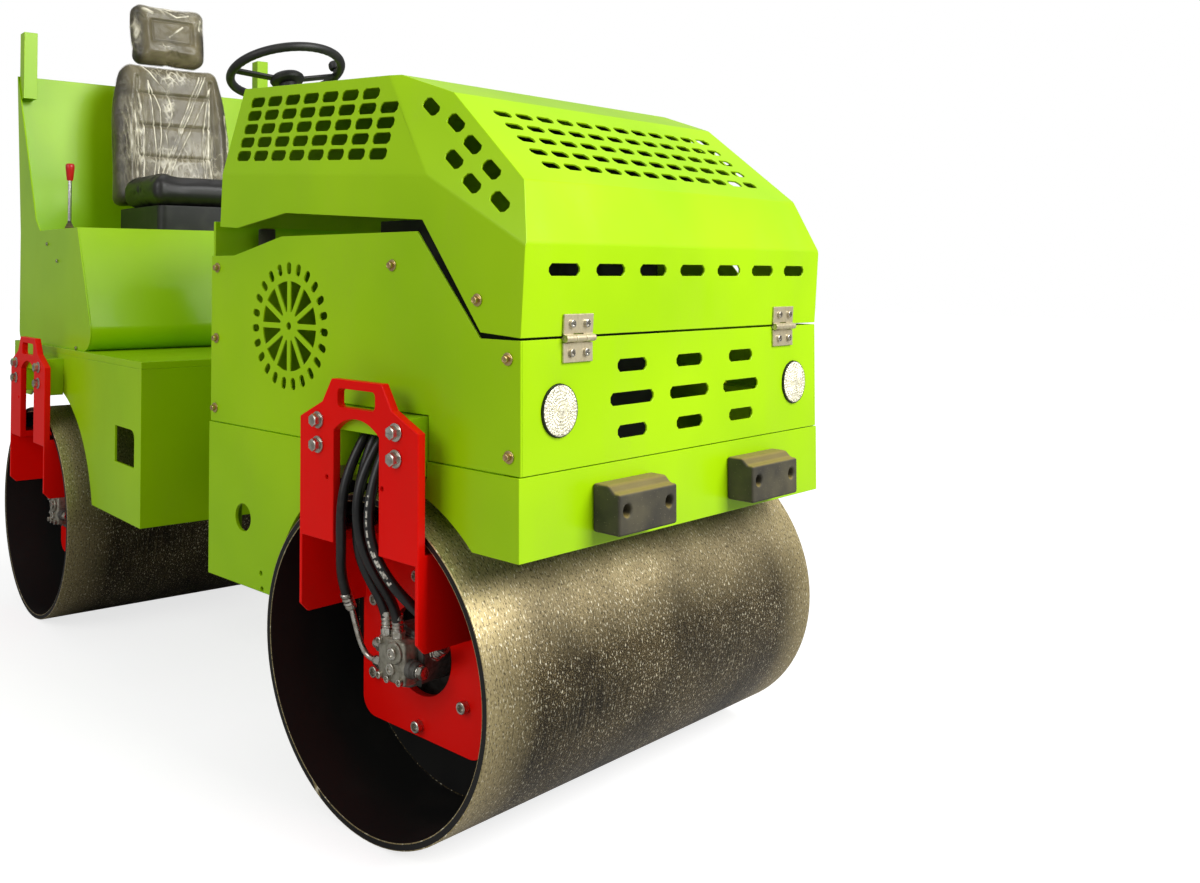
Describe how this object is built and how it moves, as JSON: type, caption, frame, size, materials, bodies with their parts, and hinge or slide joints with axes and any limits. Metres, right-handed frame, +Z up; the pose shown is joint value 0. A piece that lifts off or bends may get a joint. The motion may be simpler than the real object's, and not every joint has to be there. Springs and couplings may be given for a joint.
{
  "type": "road roller",
  "caption": "Ride-on articulated tandem road roller with steel drums on forks, a tilting hood over its engine, and an operator's seat on the rear half.",
  "frame": {"origin": "on the ground, under the middle of the whole machine as it stands", "axes": "+X forward along the front half, +Y to the machine's left, +Z up"},
  "size_m": [2.8076, 1.3891, 2.195],
  "materials": {
    "green_paint": "gloss",
    "red_paint": "gloss",
    "black_paint": "satin",
    "drum_steel": "mill scale",
    "steel": "satin",
    "hinge_zinc": "cast",
    "hydraulic_iron": "rough",
    "rubber": "matt",
    "hose_rubber": "matt",
    "lamp_lens": "faceted",
    "seat_vinyl": "film-wrapped",
    "seat_plastic": "matt",
    "wheel_plastic": "grained",
    "lever_chrome": "polished"
  },
  "bodies": {
    "front_frame": {"front_frame": "green_paint", "bulkhead": "green_paint", "pivot_frame": "black_paint", "side_panel_right": "green_paint", "side_panel_left": "green_paint", "front_panel": "green_paint", "head_lamps": "lamp_lens", "bumper_blocks": "rubber", "hood_hinges_lower": "hinge_zinc", "hood_buffers": "rubber", "engine": "black_paint", "front_brackets": "green_paint", "front_fork_right": "red_paint", "front_fork_left": "red_paint", "front_mounts": "rubber", "front_motor_right": "hydraulic_iron", "front_motor_left": "hydraulic_iron", "front_hoses": "hose_rubber", "steering_pins": "steel"},
    "front_drum": {"front_drum": "drum_steel"},
    "hood": {"hood": "green_paint", "hood_hinges_upper": "hinge_zinc"},
    "knuckle": {"knuckle": "black_paint"},
    "steering_barrel": {"steering_barrel": "black_paint"},
    "steering_rod": {"steering_rod": "steel"},
    "rear_frame": {"rear_frame": "green_paint", "deck": "green_paint", "rear_brackets": "green_paint", "rear_fork_right": "red_paint", "rear_fork_left": "red_paint", "rear_mounts": "rubber", "rear_motor_right": "hydraulic_iron", "rear_motor_left": "hydraulic_iron", "seat_box": "green_paint", "wing_right": "green_paint", "wing_left": "green_paint", "rear_wall": "green_paint", "post_stubs": "green_paint", "seat_base": "seat_plastic", "seat_cushion": "seat_vinyl", "seat_backrest": "seat_vinyl", "seat_headrest": "seat_vinyl", "console": "green_paint", "control_lever": "lever_chrome"},
    "rear_drum": {"rear_drum": "drum_steel"},
    "steering_wheel": {"steering_wheel": "wheel_plastic"}
  },
  "joints": [
    {"name": "steering", "type": "hinge", "parent": "front_frame", "child": "knuckle", "pos_m": [0.04033, -0.04308, 0.582], "axis": [0, 0, 1], "range_deg": [-23.2, 36.8]},
    {"name": "oscillation", "type": "hinge", "parent": "knuckle", "child": "rear_frame", "pos_m": [0.04033, -0.04308, 0.582], "axis": [0.993, -0.1184, 0], "range_deg": [-8, 8]},
    {"name": "front_drum_spin", "type": "hinge", "parent": "front_frame", "child": "front_drum", "pos_m": [0.94783, -0.04308, 0.35], "axis": [0, 1, 0], "continuous": true},
    {"name": "rear_drum_spin", "type": "hinge", "parent": "rear_frame", "child": "rear_drum", "pos_m": [-0.86079, 0.06437, 0.35], "axis": [0.1184, 0.993, 0], "continuous": true},
    {"name": "hood_hinge", "type": "hinge", "parent": "front_frame", "child": "hood", "pos_m": [1.34583, -0.04308, 1.035], "axis": [0, 1, 0], "range_deg": [0, 62]},
    {"name": "steering_wheel_turn", "type": "hinge", "parent": "rear_frame", "child": "steering_wheel", "pos_m": [-0.12576, -0.06356, 1.787], "axis": [-0.2986, 0.0356, 0.9537], "continuous": true},
    {"name": "cylinder_swing", "type": "hinge", "parent": "front_frame", "child": "steering_barrel", "pos_m": [0.40783, 0.28692, 0.6], "axis": [0, 0, 1], "range_deg": [-4.51, 3.03]},
    {"name": "rod_slide", "type": "slide", "parent": "steering_barrel", "child": "steering_rod", "axis": [-0.9332, -0.3593, 0], "range_m": [-0.0751, 0.1179]}
  ],
  "couplings": [
    {"joint": "cylinder_swing", "follows": "steering", "ratio": -0.109},
    {"joint": "rod_slide", "follows": "steering", "m_per_rad": 0.1805}
  ]
}
